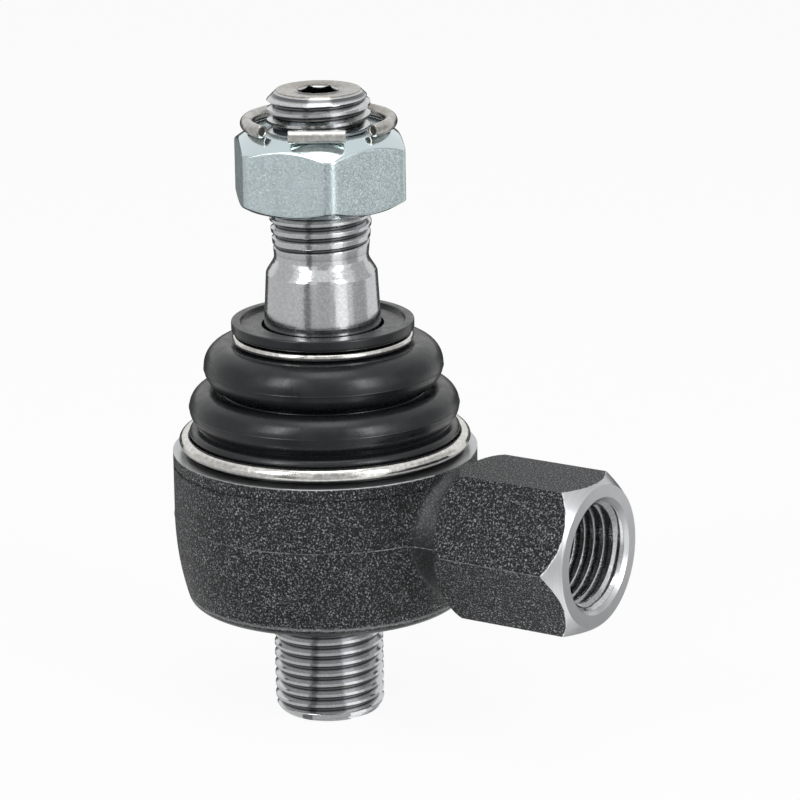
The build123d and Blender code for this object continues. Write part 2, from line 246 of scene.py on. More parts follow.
def thread_tree():
    """A screw thread as a sheet whose rows follow the helix, cut off level at both ends."""
    group = bpy.data.node_groups.new("Screw Thread", "GeometryNodeTree")
    face = group.interface
    for name, text in THREAD_INPUTS:
        face.new_socket(name, in_out="INPUT", socket_type="NodeSocketFloat", description=text)
    face.new_socket("Segments", in_out="INPUT", socket_type="NodeSocketInt", description="Steps around")
    face.new_socket("Material", in_out="INPUT", socket_type="NodeSocketMaterial", description="Finish")
    face.new_socket("Geometry", in_out="OUTPUT", socket_type="NodeSocketGeometry")
    t = Tree(group)
    given = t.add("NodeGroupInput").outputs
    height = t.less(given["Top"], given["Bottom"])
    pitches = t.math("CEIL", t.plus(t.over(height, given["Pitch"]), 1.0))
    columns = t.plus(given["Segments"], 1.0)
    rows = t.plus(t.times(pitches, float(ROWS_PER_PITCH)), 1.0)
    sheet = {"Size X": 1.0, "Size Y": 1.0, "Vertices X": columns, "Vertices Y": rows}
    grid = t.wired("GeometryNodeMeshGrid", sheet)
    place = t.add("ShaderNodeSeparateXYZ")
    t.put(place.inputs[0], t.add("GeometryNodeInputPosition").outputs[0])
    turn = t.plus(place.outputs[0], 0.5)
    climb = t.times(t.plus(place.outputs[1], 0.5), pitches)
    climb = t.less(t.plus(climb, turn), 1.0)
    offset = t.times(given["Phase"], -1.0)
    climb = t.times(t.plus(climb, offset), given["Pitch"])
    free = t.plus(climb, given["Bottom"])
    level = t.least(t.most(free, given["Bottom"]), given["Top"])
    above = t.less(level, given["Bottom"])
    below = t.less(given["Top"], level)
    # Wave along the axis: 1 on the crest, 0 in the root.
    wave = t.less(t.over(above, given["Pitch"]), turn)
    wave = t.math("FRACT", t.plus(wave, given["Phase"]))
    wave = t.math("ABSOLUTE", t.less(t.times(wave, 2.0), 1.0))
    cut = t.over(t.less(CREST_SHARE, wave), CREST_SHARE - ROOT_SHARE)
    cut = t.least(t.most(cut, 0.0), 1.0)
    faded = t.over(above, t.most(given["Run-out"], 1e-9))
    faded = t.less(1.0, t.least(faded, 1.0))
    cut = t.most(t.less(cut, faded), 0.0)
    grooved = t.less(given["Crest Radius"], t.times(given["Depth"], cut))
    low = t.plus(given["Bottom Radius"], t.times(above, given["Bottom Slope"]))
    high = t.plus(given["Top Radius"], t.times(below, given["Top Slope"]))
    ball = given["Bottom Rounding"]
    rise = t.less(ball, t.least(above, ball))
    reach = t.less(t.times(ball, ball), t.times(rise, rise))
    reach = t.math("SQRT", t.most(reach, 0.0))
    nose = t.plus(t.less(given["Crest Radius"], ball), reach)
    blank = t.least(t.least(low, high), nose)
    radius = t.least(grooved, blank)
    angle = t.times(turn, math.tau)
    across, along = t.times(radius, t.math("COSINE", angle)), t.times(radius, t.math("SINE", angle))
    spot = t.wired("ShaderNodeCombineXYZ", {0: across, 1: along, 2: level})
    moved = t.wired("GeometryNodeSetPosition", {"Geometry": grid, "Position": spot})
    merged = t.wired("GeometryNodeMergeByDistance", {"Geometry": moved, "Distance": 1e-6})
    close_tree(t, merged, given["Material"])
    return group


def edge_ridge_tree():
    """A fine raised seam of round section along a line of edges."""
    group = bpy.data.node_groups.new("Raised Seam", "GeometryNodeTree")
    face = group.interface
    face.new_socket("Geometry", in_out="INPUT", socket_type="NodeSocketGeometry")
    for name, text in (("Seam Radius", "Radius of the seam"), ("Unevenness", "How far the seam wanders")):
        face.new_socket(name, in_out="INPUT", socket_type="NodeSocketFloat", description=text)
    face.new_socket("Material", in_out="INPUT", socket_type="NodeSocketMaterial", description="Finish")
    face.new_socket("Geometry", in_out="OUTPUT", socket_type="NodeSocketGeometry")
    t = Tree(group)
    given = t.add("NodeGroupInput").outputs
    line = t.wired("GeometryNodeMeshToCurve", {0: given["Geometry"]})
    even = t.wired("GeometryNodeResampleCurve", {"Curve": line, "Length": 0.35 * MM}, mode="LENGTH")
    here = t.add("GeometryNodeInputPosition").outputs[0]
    scaled = t.wired("ShaderNodeVectorMath", {0: here, "Scale": 1 / MM}, operation="SCALE")
    noise = t.add("ShaderNodeTexNoise", noise_dimensions="3D")
    for key, value in (("Vector", scaled), ("Scale", 0.9), ("Detail", 3.0)):
        t.put(noise.inputs[key], value)
    middle = {0: noise.outputs["Color"], 1: (0.5, 0.5, 0.5)}
    drift = t.wired("ShaderNodeVectorMath", middle, operation="SUBTRACT")
    sized = t.wired("ShaderNodeVectorMath", {0: drift, "Scale": given["Unevenness"]}, operation="SCALE")
    moved = t.wired("GeometryNodeSetPosition", {"Geometry": even, "Offset": sized})
    section = {"Resolution": 6, "Radius": given["Seam Radius"]}
    section = t.wired("GeometryNodeCurvePrimitiveCircle", section, mode="RADIUS")
    swept = {"Curve": moved, "Profile Curve": section, "Fill Caps": True}
    close_tree(t, t.wired("GeometryNodeCurveToMesh", swept), given["Material"])
    return group


def close_tree(t, geometry, material):
    """Realize Instances, Set Material and the output, at the end of a tree."""
    real = t.wired("GeometryNodeRealizeInstances", {0: geometry})
    painted = t.wired("GeometryNodeSetMaterial", {"Geometry": real, "Material": material})
    t.put(t.add("NodeGroupOutput").inputs[0], painted)


def grown(tree, base, values):
    """The mesh that a geometry tree makes on a base mesh, with its inputs set by name."""
    holder = bpy.data.objects.new("holder", base)
    bpy.context.scene.collection.objects.link(holder)
    modifier = holder.modifiers.new("Nodes", "NODES")
    modifier.node_group = tree
    for item in tree.interface.items_tree:
        if item.item_type == "SOCKET" and item.in_out == "INPUT" and item.name in values:
            modifier[item.identifier] = values[item.name]
    holder.update_tag()
    bpy.context.view_layer.update()
    graph = bpy.context.evaluated_depsgraph_get()
    mesh = bpy.data.meshes.new_from_object(holder.evaluated_get(graph))
    bpy.data.objects.remove(holder)
    return mesh


def thread_mesh(material, **values):
    """One length of thread, with the shared pitch and steps, along +Z."""
    sizes = bpy.context.scene.ball_joint.thread
    named = {name: 0.0 for name, _ in THREAD_INPUTS}
    named.update({key.replace("_", " ").replace("Run out", "Run-out"): v for key, v in values.items()})
    named.update({"Pitch": sizes.pitch, "Segments": sizes.segments, "Material": material})
    tree = bpy.data.node_groups.get("Screw Thread") or thread_tree()
    return grown(tree, bpy.data.meshes.new("blank"), named)


# ---------------------------------------------------------------- mesh helpers


def eased(corners, steps=4):
    """Profile points in millimetres, each corner (radius, height, ease) rounded by its ease."""
    points = []
    for k, (r, z, ease) in enumerate(corners):
        here = np.array((r, z), float)
        if not ease or k in (0, len(corners) - 1):
            points.append(here)
            continue
        back = np.array(corners[k - 1][:2], float) - here
        on = np.array(corners[k + 1][:2], float) - here
        cut = min(ease, 0.45 * np.linalg.norm(back), 0.45 * np.linalg.norm(on))
        first = here + back / np.linalg.norm(back) * cut
        last = here + on / np.linalg.norm(on) * cut
        for step in range(steps + 1):
            s = step / steps
            points.append((1 - s) ** 2 * first + 2 * s * (1 - s) * here + s * s * last)
    return [(float(p[0]), float(p[1])) for p in points]


def arc(start, middle, end, steps=14):
    """Points on the circle through three points, from start to end."""
    (ax, ay), (bx, by), (cx, cy) = start, middle, end
    d = 2 * (ax * (by - cy) + bx * (cy - ay) + cx * (ay - by))
    a2, b2, c2 = ax * ax + ay * ay, bx * bx + by * by, cx * cx + cy * cy
    ox = (a2 * (by - cy) + b2 * (cy - ay) + c2 * (ay - by)) / d
    oy = (a2 * (cx - bx) + b2 * (ax - cx) + c2 * (bx - ax)) / d
    radius = math.hypot(ax - ox, ay - oy)
    first = math.atan2(ay - oy, ax - ox)
    middle_turn = (math.atan2(by - oy, bx - ox) - first) % math.tau
    whole_turn = (math.atan2(cy - oy, cx - ox) - first) % math.tau
    if middle_turn > whole_turn:
        whole_turn -= math.tau
    turns = [first + whole_turn * k / steps for k in range(steps + 1)]
    return [(ox + radius * math.cos(a), oy + radius * math.sin(a)) for a in turns]


def circle(radius, height, angles):
    """A ring of points; radius may be one number or one for each angle, all in millimetres."""
    radii = np.broadcast_to(radius, angles.shape)
    heights = np.broadcast_to(height, angles.shape)
    return np.stack([radii * np.cos(angles), radii * np.sin(angles), heights], 1) * MM


def even_angles(count):
    return np.arange(count) * math.tau / count


def shell(rings, first_pole=None, last_pole=None, loop=False):
    """A mesh of rings with the same number of points, closed by poles or into a loop."""
    count = len(rings[0])
    points = [tuple(p) for ring in rings for p in ring]
    faces = []
    rows = [(k, k + 1) for k in range(len(rings) - 1)]
    if loop:
        rows.append((len(rings) - 1, 0))
    for a, b in rows:
        for k in range(count):
            j = (k + 1) % count
            faces.append((a * count + k, a * count + j, b * count + j, b * count + k))
    for pole, row in ((first_pole, 0), (last_pole, len(rings) - 1)):
        if pole is not None:
            points.append(tuple(pole))
            for k in range(count):
                faces.append((row * count + k, row * count + (k + 1) % count, len(points) - 1))
    mesh = bpy.data.meshes.new("shell")
    mesh.from_pydata(points, [], faces)
    return mesh


def turned(profile, angles, poles=(False, False), loop=False):
    """A turned mesh from (radius, height) pairs in millimetres."""
    rings = [circle(r, z, angles) for r, z in profile]
    ends = [(0, 0, profile[k][1] * MM) if flag else None for k, flag in zip((0, -1), poles)]
    return shell(rings, ends[0], ends[1], loop)


def piece(name, meshes, materials, body, replaced=(), sharp=35, turn=None):
    """Joins meshes into one closed piece, welds it, and gives it its body and finish."""
    work = bmesh.new()
    for mesh in meshes:
        work.from_mesh(mesh)
    bmesh.ops.remove_doubles(work, verts=work.verts, dist=2e-6)
    bmesh.ops.dissolve_degenerate(work, edges=work.edges, dist=1e-7)
    bmesh.ops.recalc_face_normals(work, faces=work.faces)
    if turn is not None:
        bmesh.ops.transform(work, matrix=turn, verts=work.verts)
    data = bpy.data.meshes.new(name)
    work.to_mesh(data)
    work.free()
    data.materials.clear()
    for material in materials:
        data.materials.append(material)
    data.shade_smooth()
    data.set_sharp_from_angle(angle=math.radians(sharp))
    obj = bpy.data.objects.new(name, data)
    bpy.context.scene.collection.objects.link(obj)
    if replaced:
        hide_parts(*replaced)
    if body:
        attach(obj, body)
    return obj


def settings():
    return bpy.context.scene.ball_joint


def finish(name):
    """A finish by name, made on its first use."""
    if name not in MADE:
        MADE[name] = FINISHES[name]("finish_" + name)
    return MADE[name]


def dress(node, material):
    """Gives a CAD node its finish through its material slots."""
    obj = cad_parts[node]
    for held in obj.material_slots or ():
        held.material = material
    if not obj.material_slots:
        obj.data.materials.append(material)


# ---------------------------------------------------------------- finishes


class Paint(Tree):
    """A material under the Principled shader, with its patterns in millimetres."""

    def __init__(self, name, roughness, metallic=0.0, **constant):
        material = bpy.data.materials.new(name)
        material.use_nodes = True
        super().__init__(material.node_tree)
        self.material = material
        self.bsdf = material.node_tree.nodes["Principled BSDF"]
        self.bsdf.inputs["Roughness"].default_value = roughness
        self.bsdf.inputs["Metallic"].default_value = metallic
        for key, value in constant.items():
            self.bsdf.inputs[key.replace("_", " ")].default_value = value
        metres = self.add("ShaderNodeTexCoord").outputs["Object"]
        self.place = self.wired("ShaderNodeVectorMath", {0: metres, "Scale": 1 / MM}, operation="SCALE")
        parts = self.add("ShaderNodeSeparateXYZ")
        self.put(parts.inputs[0], self.place)
        self.x, self.y, self.z = parts.outputs

    def hypot(self, a, b):
        squares = self.plus(self.times(a, a), self.times(b, b))
        return self.math("SQRT", squares)

    def noise(self, scale, detail=2.0, rough=0.5, stretch=None):
        vector = self.place
        if stretch:
            vector = self.wired("ShaderNodeMapping", {"Vector": vector, "Scale": stretch})
        pattern = {"Vector": vector, "Scale": scale, "Detail": detail, "Roughness": rough}
        return self.wired("ShaderNodeTexNoise", pattern)

    def cells(self, scale):
        pattern = {"Vector": self.place, "Scale": scale}
        return self.wired("ShaderNodeTexVoronoi", pattern, feature="SMOOTH_F1")

    def ramp(self, value, low, high, start=0.0, end=1.0):
        limits = {"Value": value, "From Min": low, "From Max": high, "To Min": start, "To Max": end}
        return self.wired("ShaderNodeMapRange", limits, interpolation_type="SMOOTHSTEP")

    def fade(self, value, low, high):
        return self.ramp(value, low, high, 1.0, 0.0)

    def blend(self, factor, first, second):
        node = self.add("ShaderNodeMix", data_type="RGBA")
        self.put(node.inputs["Factor"], factor)
        self.put(node.inputs["A"], rgba(first))
        self.put(node.inputs["B"], rgba(second))
        return node.outputs["Result"]

    def mix(self, factor, first, second):
        node = self.add("ShaderNodeMix", data_type="FLOAT")
        for socket, value in zip(("Factor", "A", "B"), (factor, first, second)):
            self.put([s for s in node.inputs if s.name == socket and s.enabled][0], value)
        return [s for s in node.outputs if s.enabled][0]

    def relief(self, height, distance, strength=1.0):
        bumps = {"Height": height, "Distance": distance * MM, "Strength": strength}
        self.put(self.bsdf.inputs["Normal"], self.wired("ShaderNodeBump", bumps))

    def surface(self, colour=None, roughness=None, metallic=None):
        for key, value in (("Base Color", colour), ("Roughness", roughness), ("Metallic", metallic)):
            if value is not None:
                self.put(self.bsdf.inputs[key], value)


def rgba(value):
    if isinstance(value, bpy.types.NodeSocket):
        return value
    return (value[0], value[1], value[2], 1.0)


def toned(value, factor):
    return tuple(min(1.0, c * factor) for c in value)


# Parts of the forging, in millimetres, by which its finish changes.
ARM_END_X = 43.4
END_FACE_R = 9.7
END_CHAMFER_SLOPE = math.tan(math.radians(50))
# Chamfers of the nut, up from its upper and lower faces.
FACE_CHAMFER = math.radians(36)
SEAT_CHAMFER = math.radians(30)
HUB_R = 20.9
HUB_TOP_Z = 9.04
HUB_BOTTOM_Z = -12.5
HEX_START_X = 23.2


def forged_steel(name):
    """Blasted, oiled forging: coarse grain whose bright specks are painted glints, smooth fillets and the
    hub's lower edge painted dark as shade, a painted highlight line above that edge, and bright machined end
    and rims.
    """
    c = settings().finish
    p = Paint(name, 0.4, 0.9)
    coarse = p.noise(3.9, 4.0, 0.72)
    grain = p.cells(3.4)
    pits = p.noise(0.5, 2.0)
    hub = p.hypot(p.x, p.y)
    off_axis = p.hypot(p.y, p.z)
    # 1 where a turning tool has been: end of the arm, its chamfer, and the inside of the arm's bore.
    beyond = p.most(p.less(off_axis, END_FACE_R), 0.0)
    edge = p.plus(p.x, p.times(beyond, END_CHAMFER_SLOPE))
    wander = p.times(p.less(p.noise(1.2, 3.0), 0.5), 0.5)
    cut_end = p.ramp(p.plus(edge, wander), ARM_END_X - 0.22, ARM_END_X - 0.10)
    in_bore = p.times(p.math("LESS_THAN", off_axis, 8.2), p.math("GREATER_THAN", p.x, HEX_START_X))
    cut_end = p.most(cut_end, in_bore)
    top = p.ramp(p.plus(p.z, p.times(wander, 0.4)), HUB_TOP_Z - 0.22, HUB_TOP_Z - 0.02)
    on_hub = p.math("LESS_THAN", hub, HUB_R + 0.2)
    rim = p.times(top, on_hub)
    # 1 on the smooth edge at the bottom of the hub, painted dark as shade on its underside, and 1 on the
    # painted highlight line above it.
    below = p.times(p.fade(p.z, HUB_BOTTOM_Z + 0.3, HUB_BOTTOM_Z + 1.15), on_hub)
    wavy = p.plus(p.z, wander)
    # Painted highlight: a bright line just above the hub's lower edge.
    lower_rim_highlight = p.ramp(wavy, HUB_BOTTOM_Z + 0.95, HUB_BOTTOM_Z + 1.15)
    lower_rim_highlight = p.times(lower_rim_highlight, p.fade(wavy, HUB_BOTTOM_Z + 1.25, HUB_BOTTOM_Z + 1.6))
    # 1 in the smooth root between hub and hexagon, painted dark as shade in the hollow.
    root = p.ramp(hub, HUB_R + 0.1, HUB_R + 0.9)
    root = p.times(root, p.fade(p.x, HEX_START_X - 0.4, HEX_START_X + 0.6))
    smooth_and_shaded = p.most(p.times(root, 0.8), below)
    rough_skin = p.less(1.0, smooth_and_shaded)
    machined = p.most(cut_end, rim)
    # Painted glints: the bright specks of the grain stand in for glints; the dark specks are the blasted
    # skin.
    speck = p.ramp(coarse, 0.51, 0.68)
    dark = p.blend(speck, toned(c.forged, 0.30), toned(c.forged, 5.6))
    # Painted shade: the smooth root and the underside of the hub are darkened.
    dark = p.blend(smooth_and_shaded, dark, toned(c.forged, 0.55))
    # The painted highlight is mixed into the skin's colour here.
    dark = p.blend(p.times(lower_rim_highlight, 0.55), dark, toned(c.machined, 0.8))
    tooling = p.noise(1.0, 2.0, 0.5, (9.0, 0.25, 0.25))
    bright = p.blend(tooling, toned(c.machined, 0.9), toned(c.machined, 1.15))
    p.surface(
        p.blend(machined, dark, bright),
        p.mix(machined, p.mix(smooth_and_shaded, p.ramp(coarse, 0.35, 0.7, 0.50, 0.34), 0.30), 0.30),
        p.mix(machined, 0.85, 1.0),
    )
    skin = p.plus(p.times(coarse, 0.75), p.times(grain, 0.45))
    skin = p.times(p.plus(skin, p.times(pits, 0.7)), rough_skin)
    height = p.mix(machined, skin, p.times(tooling, 0.05))
    p.relief(height, 0.42, 1.0)
    return p.material


def ground_steel(name, tint, roughness, threaded=None):
    """Bright turned steel with fine rings, and painted shade in the grooves of a thread (crest, bottom,
    top).
    """
    base = toned(settings().finish.ground, tint)
    p = Paint(name, roughness, 1.0)
    radius = p.hypot(p.x, p.y)
    rings = p.noise(1.0, 3.0, 0.6, (0.15, 0.15, 7.0))
    mottled = p.noise(3.0, 3.0, 0.65)
    shade = p.blend(p.ramp(mottled, 0.35, 0.75), toned(base, 0.86), toned(base, 1.08))
    if threaded:
        crest, low, high = threaded
        # Painted shade: the thread's grooves are darkened below the crest.
        groove_shade = p.fade(radius, crest - 0.74, crest - 0.40)
        groove_shade = p.times(groove_shade, p.math("GREATER_THAN", p.z, low))
        groove_shade = p.times(groove_shade, p.math("LESS_THAN", p.z, high))
        shade = p.blend(groove_shade, shade, toned(base, 0.22))
    worn = p.plus(p.times(rings, 0.6), p.times(mottled, 0.4))
    p.surface(shade, p.ramp(worn, 0.3, 0.7, roughness - 0.05, roughness + 0.09))
    height = p.plus(p.times(rings, 0.6), p.times(mottled, 0.6))
    p.relief(height, 0.012, 0.6)
    return p, shade


def pin_steel(name):
    """Bright pin whose end face is dull and brownish."""
    pin = settings().pin
    top = pin.top / MM
    threaded = (pin.thread_radius / MM, pin.thread_bottom / MM + 0.2, top - 0.3)
    p, shade = ground_steel(name, 1.0, 0.14, threaded)
    on_top = p.ramp(p.z, top - 0.25, top - 0.05)
    stain = p.blend(p.noise(0.45, 3.0), (0.17, 0.155, 0.135), (0.30, 0.28, 0.25))
    swirl = p.blend(p.ramp(p.noise(1.6, 2.0), 0.4, 0.7), stain, (0.36, 0.34, 0.31))
    p.surface(p.blend(on_top, shade, swirl))
    return p.material


def stud_steel(name):
    """Rolled thread of the stud, with the flat cover above it."""
    threaded = (settings().stud.thread_radius / MM, CAD_BOX[0][2] / MM + 1.0, HUB_BOTTOM_Z - 1.1)
    return ground_steel(name, 1.0, 0.15, threaded)[0].material


def bore_steel(name):
    """Cut thread inside the arm, wet with oil."""
    return ground_steel(name, 0.95, 0.16)[0].material


def zinc_plate(name):
    """Bluish zinc: satin and finely speckled on the flats, mirror-like on the turned chamfers."""
    c = settings().finish.zinc
    p = Paint(name, 0.3, 1.0)
    speck = p.noise(3.2, 3.0, 0.6)
    cloud = p.noise(0.35, 2.0)
    spangle = p.ramp(p.noise(4.2, 2.0, 0.6), 0.56, 0.70)
    low, high = (corner.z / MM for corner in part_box("hex_nut"))
    radius = p.hypot(p.x, p.y)
    # Height at which the cone of each chamfer meets this radius.
    nut = settings().nut
    drop = p.times(p.less(radius, nut.face_radius / MM), math.tan(FACE_CHAMFER))
    rise = p.times(p.less(radius, nut.seat_radius / MM), math.tan(SEAT_CHAMFER))
    top_cone = p.ramp(p.plus(p.z, drop), high - 0.22, high - 0.08)
    bottom_cone = p.fade(p.less(p.z, rise), low - 0.22, low - 0.08)
    cone = p.most(top_cone, bottom_cone)
    flat = p.blend(p.ramp(speck, 0.36, 0.66), toned(c, 0.84), toned(c, 1.03))
    flat = p.blend(p.times(spangle, 0.55), flat, toned(c, 1.5))
    flat = p.blend(p.ramp(cloud, 0.35, 0.7, 0.0, 0.3), flat, toned(c, 1.12))
    p.surface(
        p.blend(cone, flat, toned(c, 1.05)),
        p.mix(cone, p.ramp(speck, 0.3, 0.7, 0.30, 0.42), 0.13),
    )
    bumps = p.times(p.plus(speck, p.times(spangle, 0.5)), p.less(1.0, cone))
    p.relief(bumps, 0.022, 0.7)
    return p.material


def boot_rubber(name):
    """Black satin rubber with a trace of bloom."""
    c = settings().finish.rubber
    p = Paint(name, 0.3, 0.0, IOR=1.42)
    grain = p.noise(3.0, 3.0, 0.6)
    bloom = p.ramp(p.noise(0.35, 3.0, 0.6), 0.45, 0.75)
    p.surface(
        p.blend(p.times(bloom, 0.5), c, toned(c, 1.7)),
        p.ramp(p.noise(0.6, 3.0), 0.3, 0.7, 0.24, 0.34),
    )
    p.relief(grain, 0.02, 0.6)
    return p.material


def wire_finish(name, base, roughness, stain=None):
    """Drawn wire: bright, with faint marks along it."""
    p = Paint(name, roughness, 1.0)
    marks = p.noise(1.3, 3.0, 0.6)
    tone = p.blend(p.ramp(marks, 0.35, 0.7), toned(base, 0.82), toned(base, 1.1))
    if stain:
        tone = p.blend(p.ramp(p.noise(0.5, 3.0), 0.45, 0.65), tone, stain)
    p.surface(tone, p.ramp(marks, 0.3, 0.7, roughness - 0.04, roughness + 0.08))
    p.relief(p.noise(2.5, 3.0), 0.012, 0.5)
    return p.material


def bright_wire(name):
    return wire_finish(name, settings().finish.bright_wire, 0.14)


def dull_wire(name):
    return wire_finish(name, settings().finish.dull_wire, 0.20, (0.30, 0.275, 0.24))


def shaded_cut_wire(name):
    """Sheared end of the wire, grainy, painted dark as shade on the end face."""
    p = Paint(name, 0.6, 0.6)
    p.surface(p.blend(p.noise(4.0, 2.0), (0.02, 0.02, 0.018), (0.08, 0.075, 0.065)))
    p.relief(p.noise(5.0, 2.0), 0.05, 0.8)
    return p.material


def bearing_plastic(name):
    """Natural bearing plastic, slightly cloudy."""
    c = settings().finish.plastic
    p = Paint(name, 0.42)
    p.surface(p.blend(p.noise(0.4, 3.0), toned(c, 0.9), toned(c, 1.06)))
    p.relief(p.noise(3.0, 2.0), 0.01, 0.5)
    return p.material


def spring_steel(name):
    """Blued spring steel."""
    p = Paint(name, 0.34, 1.0)
    p.surface(p.blend(p.noise(0.5, 3.0), (0.16, 0.17, 0.20), (0.30, 0.29, 0.28)))
    p.relief(p.noise(3.0, 2.0), 0.01, 0.5)
    return p.material


def seam_steel(name):
    """Trimmed flash of the forging, a little brighter than the skin."""
    c = settings().finish.forged
    p = Paint(name, 0.38, 0.9)
    p.surface(p.blend(p.ramp(p.noise(1.5, 3.0), 0.4, 0.62), toned(c, 0.9), toned(c, 2.0)))
    p.relief(p.noise(3.0, 2.0), 0.1, 0.8)
    return p.material


FINISHES = {
    "forged_steel": forged_steel,
    "pin_steel": pin_steel,
    "stud_steel": stud_steel,
    "bore_steel": bore_steel,
    "zinc_plate": zinc_plate,
    "boot_rubber": boot_rubber,
    "bright_wire": bright_wire,
    "dull_wire": dull_wire,
    "shaded_cut_wire": shaded_cut_wire,
    "bearing_plastic": bearing_plastic,
    "spring_steel": spring_steel,
    "seam_steel": seam_steel,
}


# ---------------------------------------------------------------- pieces


class PieceOperator:
    """What every operator of this file shares."""

    bl_options = {"REGISTER", "UNDO"}

    def execute(self, context):
        self.build(context.scene.ball_joint)
        return {"FINISHED"}


class BALLJOINT_OT_housing(PieceOperator, bpy.types.Operator):
    """Finish the forged housing and raise its parting seam"""

    bl_idname = "balljoint.housing"
    bl_label = "Housing"

    def build(self, s):
        dress("housing", finish("forged_steel"))
        work = bmesh.new()
        work.from_mesh(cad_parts["housing"].data)
        bmesh.ops.remove_doubles(work, verts=work.verts, dist=1e-6)
        everything = work.verts[:] + work.edges[:] + work.faces[:]
        cut = bmesh.ops.bisect_plane(work, geom=everything, plane_co=(0, 0, 0), plane_no=(0, 0, 1))
        line = [e for e in cut["geom_cut"] if isinstance(e, bmesh.types.BMEdge) and self.outside(e)]
        keep = {v for e in line for v in e.verts}
        points = {v: k for k, v in enumerate(keep)}
        base = bpy.data.meshes.new("parting_line")
        base.from_pydata([v.co[:] for v in keep], [[points[v] for v in e.verts] for e in line], [])
        work.free()
        values = {"Seam Radius": 0.08 * MM, "Unevenness": 0.07 * MM, "Material": finish("seam_steel")}
        mesh = grown(edge_ridge_tree(), base, values)
        piece("parting_seam", [mesh], [finish("seam_steel")], "housing")

    def outside(self, edge):
        """True on the outer wall of the hub and along the sides of the arm."""
        middle = (edge.verts[0].co + edge.verts[1].co) / 2 / MM
        on_arm_side = abs(middle.y) > 8.25 and middle.x <= ARM_END_X - 3.0
        return middle.xy.length > HUB_R - 1.9 and (middle.x < 0 or on_arm_side)


class BALLJOINT_OT_stud(PieceOperator, bpy.types.Operator):
    """Build the cover with its threaded stud"""

    bl_idname = "balljoint.stud"
    bl_label = "Cover with Stud"

    def build(self, s):
        low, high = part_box("cover_with_stud")
        bottom, top = low.z / MM, high.z / MM
        radius, neck = s.stud.thread_radius / MM, s.stud.undercut_radius / MM
        under = HUB_BOTTOM_Z - 0.9
        angles = even_angles(s.thread.segments)
        material = finish("stud_steel")
        thread = thread_mesh(
            material, Crest_Radius=radius * MM, Depth=s.thread.depth, Bottom=low.z, Top=under * MM,
            Bottom_Radius=radius * MM, Bottom_Slope=0.0, Bottom_Rounding=s.stud.end_rounding,
            Top_Radius=neck * MM, Top_Slope=0.9,
        )
        cap = turned([(radius - s.stud.end_rounding / MM, bottom)], angles, (True, False))
        face, cover, dish = HUB_BOTTOM_Z + 0.02, 15.45, top - 0.8
        upper = eased([
            (neck, under, 0), (neck, face, 0.1), (cover - 0.9, face, 0.1), (cover, -11.5, 0.1),
            (cover, top, 0.1), (6.6, top, 0.1), (6.6, dish, 0.2), (0.8, dish, 0),
        ])
        piece(
            "threaded_stud", [thread, cap, turned(upper, angles, (False, True))], [material],
            "housing", ("cover_with_stud",), sharp=50,
        )


class BALLJOINT_OT_arm_thread(PieceOperator, bpy.types.Operator):
    """Build the female thread in the arm"""

    bl_idname = "balljoint.arm_thread"
    bl_label = "Arm Thread"

    def build(self, s):
        root = s.arm.root_radius
        mouth = (ARM_END_X - 0.55) * MM
        bottom = mouth - s.arm.depth
        material = finish("bore_steel")
        crest = root - s.thread.female_depth
        thread = thread_mesh(
            material, Crest_Radius=-crest, Depth=s.thread.female_depth, Bottom=bottom, Top=mouth,
            Bottom_Radius=-root, Bottom_Slope=1.5, Top_Radius=-root, Top_Slope=0.75,
            Run_out=s.thread.pitch,
        )
        wall = root / MM + 0.07
        angles = even_angles(s.thread.segments)
        back = [(root / MM, mouth / MM), (wall, mouth / MM), (wall, bottom / MM), (root / MM, bottom / MM)]
        along_arm = Matrix.Rotation(math.radians(90), 4, "Y")
        piece(
            "arm_thread", [thread, turned(back, angles)], [material], "housing",
            sharp=50, turn=along_arm,
        )


class BALLJOINT_OT_pin(PieceOperator, bpy.types.Operator):
    """Build the ball pin with its thread and key socket"""

    bl_idname = "balljoint.pin"
    bl_label = "Ball Pin"

    def build(self, s):
        angles = even_angles(s.thread.segments)
        pin = s.pin
        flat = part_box("ball_pin")[0].z / MM
        ball, neck, shank = pin.ball_radius / MM, 5.4, pin.shank_radius / MM
        relief, start = pin.relief_radius / MM, pin.thread_bottom / MM
        top, radius = pin.top / MM, pin.thread_radius / MM
        first, last = math.asin(flat / ball), math.acos(neck / ball)
        turns = [first + (last - first) * k / 24 for k in range(25)]
        body = [(0.8, flat)] + [(ball * math.cos(a), ball * math.sin(a)) for a in turns]
        body += eased([
            (neck, ball * math.sin(last), 0), (neck, 11.5, 1.0), (shank, 19.5, 0.6), (shank, 26.6, 0.4),
            (7.6, 33.8, 0.08), (7.45, 34.15, 0.1), (relief + 0.2, 35.4, 0.4), (relief, 35.9, 0.2),
            (relief, start, 0),
        ])
        material = finish("pin_steel")
        chamfer = 1.3
        thread = thread_mesh(
            material, Crest_Radius=pin.thread_radius, Depth=s.thread.depth, Bottom=pin.thread_bottom,
            Top=pin.top, Bottom_Radius=pin.relief_radius, Bottom_Slope=(radius - relief) / 5.2,
            Top_Radius=(radius - chamfer) * MM, Top_Slope=1.0, Run_out=0.8 * MM, Phase=pin.thread_turn,
        )
        half = pin.key_width / MM / 2
        off_flat = (angles + math.pi / 6) % (math.pi / 3) - math.pi / 6
        hexagon = half / np.cos(off_flat)
        mouth = half + 0.4
        floor = top - pin.key_depth / MM
        rings = [
            circle(radius - chamfer, top, angles),
            circle(mouth + 0.08, top, angles),
            circle(mouth, top - 0.03, angles),
            circle(hexagon, top - (mouth - hexagon), angles),
            circle(hexagon, floor, angles),
        ]
        end = shell(rings, None, (0, 0, (floor - 0.9) * MM))
        piece(
            "threaded_pin", [turned(body, angles, (True, False)), thread, end], [material],
            "pin", ("ball_pin",), sharp=40,
        )


